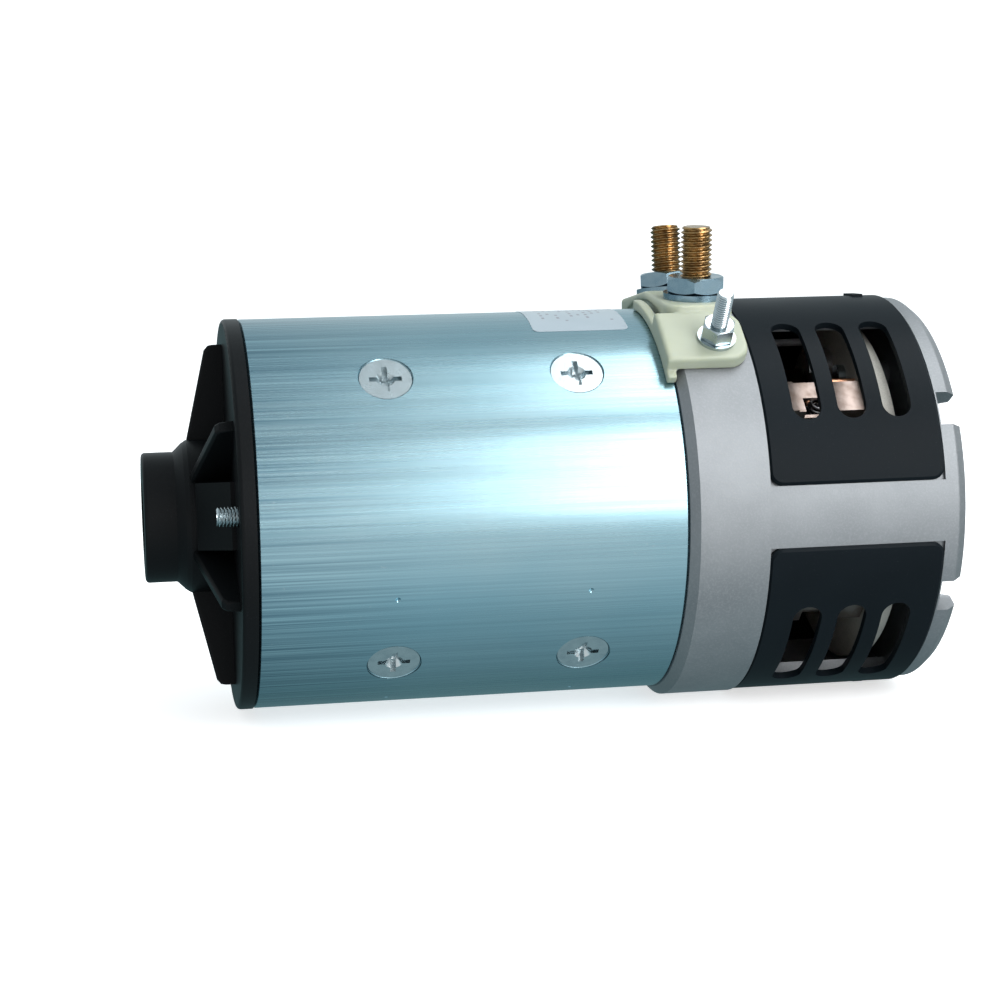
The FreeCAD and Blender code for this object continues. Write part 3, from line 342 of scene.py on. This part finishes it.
BLACK_SHEET = satin_black("black_sheet", (0.0042, 0.0065, 0.0085), 0.42, 3e-6, 0.05)
RUBBER = moulded("nitrile_rubber", (0.022, 0.022, 0.022), 0.50, 6e-6)
CARBON = moulded("pressed_carbon", (0.05, 0.048, 0.047), 0.42, 10e-6)
RESIN = moulded("filled_resin", (0.40, 0.39, 0.35), 0.48, 8e-6)
SWITCH_CAN = plated("switch_can", (0.50, 0.50, 0.51), 0.30, (0.32, 0.32, 0.33), 0.6)
WIRE_SLEEVE = moulded("wire_sleeve", (0.10, 0.10, 0.105), 0.50, 12e-6)

CAD_FINISHES = [
    (drawn_zinc(), ["yoke_tube"]),
    (BLACK_CASTING, ["drive_end_shield"]),
    (BLACK_SHEET, ["vent_cover_upper", "vent_cover_lower"]),
    (cast_aluminium(), ["commutator_end_housing"]),
    (BLUE_ZINC, ["terminal_nuts", "terminal_washers"]),
    (BRIGHT_ZINC, ["sensor_nut", "sensor_washer", "pole_screws", "bolt_washers", "brush_plate_screws"]),
    (laminations(), ["pole_shoes", "armature_core"]),
    (wrapped_tape(), ["field_coils"]),
    (wound_copper(), ["armature_windings"]),
    (commutator_copper(), ["commutator_segments"]),
    (COPPER, ["field_connectors"]),
    (RESIN, ["commutator_hub", "brush_plate"]),
    (RUBBER, ["shaft_seal", "shield_seal_ring"]),
    (GROUND_STEEL, [f"{end}_bearing_{part}" for end in ("drive", "rear")
                    for part in ("outer_ring", "inner_ring", "balls", "cage")]),
    (SPRING_STEEL, ["bearing_retaining_ring", "wave_washer"]),
    (SHAFT_STEEL, ["armature_shaft"]),
    (TINNED, ["brush_holders"]),
    (CARBON, [f"brush_{number}" for number in range(1, 5)]),
    (SWITCH_CAN, ["thermal_switch"]),
    (printed_label(), ["rating_label"]),
]


def finish_cad_nodes():
    for material, names in CAD_FINISHES:
        for name in names:
            NODES[name].data.materials.clear()
            NODES[name].data.materials.append(material)


# ---- meshes ------------------------------------------------------------------------------------------
def about_x(turn):
    """Turns a point that stands at the top of the motor to its angle about the axis."""
    return Matrix.Rotation(math.radians(turn), 4, "X")


def piece(name, rings, material, slot, body, *replaced):
    """A closed skin over rings of points, each joined to the next, with both ends capped."""
    count = len(rings[0])
    faces = [(row * count + side, row * count + (side + 1) % count,
              (row + 1) * count + (side + 1) % count, (row + 1) * count + side)
             for row in range(len(rings) - 1) for side in range(count)]
    last = (len(rings) - 1) * count
    faces.append(tuple(reversed(range(count))))
    faces.append(tuple(range(last, last + count)))
    mesh = bpy.data.meshes.new(name)
    mesh.from_pydata([tuple(point * MM) for ring in rings for point in ring], [], faces)
    mesh.validate()
    mesh.shade_smooth()
    mesh.set_sharp_from_angle(angle=math.radians(38))
    made = bpy.data.objects.new(name, mesh)
    bpy.context.scene.collection.objects.link(made)
    return dress(made, material, slot, body, *replaced)


def dress(made, material, slot, body, *replaced):
    made.data.materials.clear()
    made.data.materials.append(material)
    if body:
        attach(made, body)
    if replaced:
        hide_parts(*replaced)
    return made


def circle(radius):
    return np.full(SIDES, float(radius))


def hexagon(flats, limit):
    """Radii of a hexagon, trimmed to a circle."""
    angles = np.arange(SIDES) * TAU / SIDES
    folded = (angles + TAU / 12) % (TAU / 6) - TAU / 12
    return np.minimum(flats / 2 / np.cos(folded), limit)


def thread(start, end, radius, pitch, chamfer):
    """(height, radii) levels of a thread that ends in a chamfer at its tip."""
    turns = np.arange(SIDES) / SIDES
    depth = 0.6 * pitch
    levels = []
    for height in np.arange(start, end + 0.01, pitch / 12):
        phase = (height / pitch - turns) % 1.0
        tooth = np.clip((0.5 - np.abs(phase - 0.5)) * 2.6 - 0.15, 0.0, 1.0)
        run_in = min(1.0, (height - start) / pitch)
        crest = min(radius, radius - chamfer + (end - height))
        levels.append((height, np.minimum(radius - depth * run_in * (1 - tooth), crest)))
    return levels


def lathe(levels, place):
    """Rings of points for (height, radii) levels along Z, put in place by a matrix in millimetres."""
    angles = np.arange(SIDES) * TAU / SIDES
    return [[place @ Vector((r * math.cos(a), r * math.sin(a), height)) for r, a in zip(radii, angles)]
            for height, radii in levels]


def tube(path, radius, sides=16, strands=0, lay=0.0):
    """Rings round a path of points; strands make the skin lobed, and lay twists it by radians per mm."""
    points = [Vector(point) for point in path]
    last = len(points) - 1
    tangents = [(points[min(i + 1, last)] - points[max(i - 1, 0)]).normalized() for i in range(last + 1)]
    side = tangents[0].orthogonal().normalized()
    rings = []
    run = 0.0
    for index, (point, tangent) in enumerate(zip(points, tangents)):
        if index:
            run += (point - points[index - 1]).length
            side = (side - tangent * side.dot(tangent)).normalized()
        other = tangent.cross(side)
        ring = []
        for angle in np.arange(sides) * TAU / sides:
            lobe = abs(math.sin(strands * (angle - lay * run) / 2)) if strands else 1.0
            reach = radius * (0.86 + 0.14 * lobe)
            ring.append(point + side * (reach * math.cos(angle)) + other * (reach * math.sin(angle)))
        rings.append(ring)
    return rings


def smooth_path(corners, steps):
    """A rounded path through corner points."""
    points = [Vector(corner) for corner in corners]
    padded = [2 * points[0] - points[1], *points, 2 * points[-1] - points[-2]]
    path = []
    for index in range(1, len(padded) - 2):
        a, b, c, d = padded[index - 1:index + 3]
        for step in range(steps):
            t = step / steps
            path.append(0.5 * (2 * b + (c - a) * t + (2 * a - 5 * b + 4 * c - d) * t ** 2
                               + (3 * b - a - 3 * c + d) * t ** 3))
    return [*path, points[-1]]


# ---- threaded pieces ---------------------------------------------------------------------------------
STUD_PLACE = 145.2
STUD_RADIUS = 4.9
STUD_PITCH = 1.5
STUD_TIP = 85.8
STUD_HEAD_FLATS = 15
SEAT_HEIGHT = 63.6
SEAT_OFFSET = 16.9
STUD_LEAN = 6.5
SENSOR_PLACE = 144.9
SENSOR_TURN = 38.5
SENSOR_RADIUS = 2.5
SENSOR_PITCH = 0.8
SENSOR_TIP = 84.6
SENSOR_HEAD = 55.6  # where the head starts
BOLT_CIRCLE = 49.2
BOLT_RADIUS = 3
BOLT_PITCH = 1
BOLT_TIP = 6.2  # how far a bolt stands out of the drive end
BOLT_HEAD_FLATS = 10


def build_terminal_studs():
    """M10 studs on the two leaning seats, with hexagon heads below the block."""
    for name, side, turn in (("near", -1, 13), ("far", 1, 15)):
        place = (Matrix.Translation((STUD_PLACE, side * SEAT_OFFSET, SEAT_HEIGHT))
                 @ Matrix.Rotation(math.radians(-side * STUD_LEAN), 4, "X")
                 @ Matrix.Translation((0, 0, -SEAT_HEIGHT)) @ Matrix.Rotation(math.radians(turn), 4, "Z"))
        eased = hexagon(STUD_HEAD_FLATS, 7.6)
        full = hexagon(STUD_HEAD_FLATS, 8.4)
        head = [(44, eased), (44.7, full), (48.4, full), (49, eased), (49, circle(STUD_RADIUS))]
        levels = [*head, *thread(52, STUD_TIP, STUD_RADIUS, STUD_PITCH, 0.9)]
        piece(f"terminal_stud_{name}", lathe(levels, place), BRONZE, "bronze", "frame", "terminal_studs")


def build_sensor_stud():
    """The M5 stud in the block's pad, with a round head inside."""
    place = about_x(SENSOR_TURN) @ Matrix.Translation((SENSOR_PLACE, 0, 0))
    eased, full = circle(5.0), circle(5.2)
    head = [(SENSOR_HEAD, eased), (SENSOR_HEAD + 0.2, full), (58.7, full), (58.9, eased),
            (58.9, circle(SENSOR_RADIUS))]
    levels = [*head, *thread(60.5, SENSOR_TIP, SENSOR_RADIUS, SENSOR_PITCH, 0.5)]
    piece("sensor_stud_threaded", lathe(levels, place), BRIGHT_ZINC, "zinc_steel", "frame", "sensor_stud")


def build_through_bolts():
    """M6 bolts along the motor: the threaded tips stand out of the drive end."""
    along = Matrix.Translation((0, 0, BOLT_CIRCLE)) @ Matrix.Rotation(math.radians(-90), 4, "Y")
    head = [(-212.5, hexagon(BOLT_HEAD_FLATS, 4.9)), (-212.0, hexagon(BOLT_HEAD_FLATS, 5.7)),
            (-208.5, hexagon(BOLT_HEAD_FLATS, 5.77)), (-208.5, circle(BOLT_RADIUS))]
    levels = [*head, *thread(-26, BOLT_TIP, BOLT_RADIUS, BOLT_PITCH, 0.6)]
    for name, turn in (("near", 83.5), ("far", 263.5)):
        rings = lathe(levels, about_x(turn) @ along)
        piece(f"through_bolt_{name}", rings, BRIGHT_ZINC, "zinc_steel", "frame", "through_bolts")


# ---- moulded terminal block --------------------------------------------------------------------------
SKIN_STEP = 0.42


def build_terminal_block():
    """The block's own solid with every edge softened, as it leaves the mould."""
    source = NODES["terminal_block"]
    made = bpy.data.objects.new("terminal_block_moulded", source.data.copy())
    bpy.context.scene.collection.objects.link(made)
    remesh = made.modifiers.new("even_skin", "REMESH")
    remesh.mode = "VOXEL"
    remesh.voxel_size = SKIN_STEP * MM
    remesh.use_smooth_shade = True
    soften = made.modifiers.new("soft_edges", "SMOOTH")
    soften.factor = 0.5
    soften.iterations = 7
    dress(made, nylon(), "nylon", "frame", "terminal_block")


# ---- brush gear --------------------------------------------------------------------------------------
BRUSH_TURNS = [45, 135, 225, 315]
BRUSH_MIDDLE = 181
BRUSH_TOP = 37.5
SPRING_TOP = 45.5
SPRING_WIRE = 0.42
SPRING_RADIUS = 3.1
SPRING_COILS = 4.5
BRAID_RADIUS = 1.0
BRAID_STRANDS = 7
BRAID_LAY = 0.5
SWITCH_TURN = -8
SWITCH_WIRE_RADIUS = 1.2
SWITCH_WIRE_CORNER = 157.5
SWITCH_WIRE_LEVEL = 48


def build_brush_spring(number, turn):
    """A coil spring that presses the brush inwards."""
    steps = int(SPRING_COILS * 40)
    rise = SPRING_TOP - BRUSH_TOP - 4 * SPRING_WIRE
    path = []
    for step in range(steps + 1):
        share = step / steps
        level = min(max((share * SPRING_COILS - 0.75) / (SPRING_COILS - 1.5), 0.0), 1.0)
        height = (BRUSH_TOP + 2 * SPRING_WIRE + level * rise
                  + 0.5 * SPRING_WIRE * math.cos(math.pi * share))
        angle = share * SPRING_COILS * TAU
        across, aside = SPRING_RADIUS * math.cos(angle), SPRING_RADIUS * math.sin(angle)
        path.append(about_x(turn) @ Vector((BRUSH_MIDDLE + across, aside, height)))
    made = piece(f"brush_coil_{number}", tube(path, SPRING_WIRE, 12), SPRING_STEEL, "bearing_steel", "frame",
                 f"brush_spring_{number}")
    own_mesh(made)


def build_brush_lead(number, turn):
    """The stranded lead from the side of the brush to the plate, with slack for the brush's travel."""
    corners = [(0, 4.5, 34), (0, 8.4, 34.2), (0.4, 10.3, 36.2), (1.4, 10.6, 39.2), (4.2, 10.5, 41.0),
               (9, 10.5, 41.1), (14.2, 10.5, 41)]
    turned = [about_x(turn) @ Vector((BRUSH_MIDDLE + x, y, z)) for x, y, z in corners]
    rings = tube(smooth_path(turned, 10), BRAID_RADIUS, 28, BRAID_STRANDS, BRAID_LAY)
    made = piece(f"brush_braid_{number}", rings, COPPER, "copper", None, f"brush_lead_{number}")
    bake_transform(made)


def build_switch_lead():
    """The sleeved wire from the thermal switch round to the head of the sensor stud."""
    corner = SWITCH_WIRE_CORNER
    places = [(SWITCH_TURN, 188.7), (SWITCH_TURN, 176), (SWITCH_TURN, 164), (SWITCH_TURN + 3, corner + 0.8)]
    places += [(turn, corner) for turn in np.linspace(SWITCH_TURN + 9, SENSOR_TURN - 7, 5)]
    places += [(SENSOR_TURN - 1, corner - 2), (SENSOR_TURN, 151)]
    path = [about_x(turn) @ Vector((place, 0, SWITCH_WIRE_LEVEL)) for turn, place in places]
    path += [about_x(SENSOR_TURN) @ Vector((place, 0, level))
             for place, level in ((146.4, 48.6), (SENSOR_PLACE, 51), (SENSOR_PLACE, SENSOR_HEAD))]
    rings = tube(smooth_path(path, 8), SWITCH_WIRE_RADIUS, 20)
    piece("switch_wire", rings, WIRE_SLEEVE, "switch_case", "frame", "thermal_switch_lead")


# ---- studio ------------------------------------------------------------------------------------------
MOTOR_MIDDLE = Vector((0.1, 0, 0))
ROOM_RADIUS = 6.0  # metres
ROOM_SIDES = 96
ROOM_STRENGTH = 1.05
ROOM_SHADES = [  # (degrees about the motor's axis from -Y, positive upwards, and the colour seen there)
    (-180, (0.14, 0.25, 0.27)),
    (-128, (0.16, 0.28, 0.30)),
    (-93, (0.32, 0.45, 0.49)),
    (-65, (0.46, 0.61, 0.66)),
    (-48, (0.66, 0.80, 0.85)),
    (-25, (1.0, 1.06, 1.08)),
    (10, (1.0, 1.0, 1.0)),
    (27, (0.66, 0.70, 0.72)),
    (105, (0.62, 0.71, 0.75)),
    (180, (0.70, 0.79, 0.82)),
]


def softbox(name, aside, elevation, distance, width, height, radiance):
    """A rectangular light aimed at the motor, its width along the motor.

    It stands `elevation` degrees up from -Y about the motor's axis, and then `aside` degrees towards +X.
    """
    light = bpy.data.lights.new(name, "AREA")
    light.shape = "RECTANGLE"
    light.size = width
    light.size_y = height
    light.energy = radiance * math.pi * width * height
    lamp = bpy.data.objects.new(name, light)
    bpy.context.scene.collection.objects.link(lamp)
    aside, rise = math.radians(aside), math.radians(elevation)
    back = Vector((math.sin(aside), -math.cos(aside) * math.cos(rise), math.cos(aside) * math.sin(rise)))
    along = Vector((math.cos(aside), math.sin(aside) * math.cos(rise), -math.sin(aside) * math.sin(rise)))
    facing = Matrix((along, back.cross(along), back)).transposed().to_4x4()
    lamp.matrix_world = Matrix.Translation(MOTOR_MIDDLE + back * distance) @ facing
    lamp.visible_camera = False


def build_world():
    """A pale room, shaded round the motor's axis: white in front, greyer overhead, dim underneath."""
    world = bpy.data.worlds.new("studio")
    world.use_nodes = True
    bpy.context.scene.world = world
    nodes, links = world.node_tree.nodes, world.node_tree.links
    where = nodes.new("ShaderNodeTexCoord")
    split = nodes.new("ShaderNodeSeparateXYZ")
    front = nodes.new("ShaderNodeMath")
    front.operation = "MULTIPLY"
    front.inputs[1].default_value = -1.0
    angle = nodes.new("ShaderNodeMath")
    angle.operation = "ARCTAN2"
    place = nodes.new("ShaderNodeMapRange")
    place.inputs["From Min"].default_value = -math.pi
    place.inputs["From Max"].default_value = math.pi
    ramp = nodes.new("ShaderNodeValToRGB")
    elements = ramp.color_ramp.elements
    while len(elements) < len(ROOM_SHADES):
        elements.new(0.5)
    for element, (degrees, shade) in zip(elements, ROOM_SHADES):
        element.position = (degrees + 180) / 360
        element.color = (*shade, 1)
    links.new(where.outputs["Generated"], split.inputs[0])
    links.new(split.outputs["Y"], front.inputs[0])
    links.new(split.outputs["Z"], angle.inputs[0])
    links.new(front.outputs[0], angle.inputs[1])
    links.new(angle.outputs[0], place.inputs["Value"])
    links.new(place.outputs[0], ramp.inputs[0])
    links.new(ramp.outputs[0], nodes["Background"].inputs["Color"])
    nodes["Background"].inputs["Strength"].default_value = ROOM_STRENGTH


def set_dressing(name, points, faces, material):
    """Something pale round the motor that the camera sees and that isn't mirrored in the motor."""
    mesh = bpy.data.meshes.new(name)
    mesh.from_pydata(points, [], faces)
    made = bpy.data.objects.new(name, mesh)
    bpy.context.scene.collection.objects.link(made)
    made.data.materials.append(material)
    made.visible_glossy = False
    made.visible_diffuse = False
    return made


def paper(name, glow):
    """White paper that shines a little, so that it stays white in the picture."""
    return Finish(name, Base_Color=(0.80, 0.80, 0.80), Roughness=0.9, Specular_IOR_Level=0.1,
                  Emission_Color=(1.0, 1.0, 1.0), Emission_Strength=glow).material


def build_floor(level):
    """A round pale floor, and a white wall round it that lets the room's light through."""
    turns = [TAU * side / ROOM_SIDES for side in range(ROOM_SIDES)]
    rim = [(ROOM_RADIUS * math.cos(turn), ROOM_RADIUS * math.sin(turn)) for turn in turns]
    set_dressing("floor", [(x, y, level) for x, y in rim], [tuple(range(ROOM_SIDES))],
                 paper("pale_floor", 0.62))
    sides = [(side, (side + 1) % ROOM_SIDES) for side in range(ROOM_SIDES)]
    wall = set_dressing("wall", [(x, y, z) for z in (level, level + ROOM_RADIUS) for x, y in rim],
                        [(one, two, ROOM_SIDES + two, ROOM_SIDES + one) for one, two in sides],
                        paper("white_wall", 1.0))
    wall.visible_shadow = False


def build_camera():
    """The camera stands off the near side, a little to the drive end and above, level to within a degree."""
    camera = bpy.data.objects.new("camera", bpy.data.cameras.new("camera"))
    bpy.context.scene.collection.objects.link(camera)
    camera.data.sensor_width = 36
    camera.data.lens = 81.64
    camera.data.clip_start = 0.01
    camera.data.clip_end = 200
    camera.matrix_world = (Matrix.Translation(Vector((-40.64, -699.33, 90.39)) * MM)
                           @ Matrix.Rotation(math.radians(-10.233), 4, "Z")
                           @ Matrix.Rotation(math.radians(90 - 7.174), 4, "X")
                           @ Matrix.Rotation(math.radians(-1.112), 4, "Z"))
    bpy.context.scene.camera = camera


def build_studio():
    build_world()
    build_floor(cad_box[0].z)
    softbox("front_softbox", 26.5, 23.5, 1.8, 0.85, 1.56, 7.0)
    softbox("top_softbox", 26.5, 81, 1.8, 0.85, 1.30, 5.8)
    bpy.context.scene.view_settings.view_transform = "Standard"
    build_camera()


def main():
    finish_cad_nodes()
    build_terminal_studs()
    build_sensor_stud()
    build_through_bolts()
    build_terminal_block()
    for number, turn in enumerate(BRUSH_TURNS, 1):
        build_brush_spring(number, turn)
        build_brush_lead(number, turn)
    build_switch_lead()
    build_studio()


main()
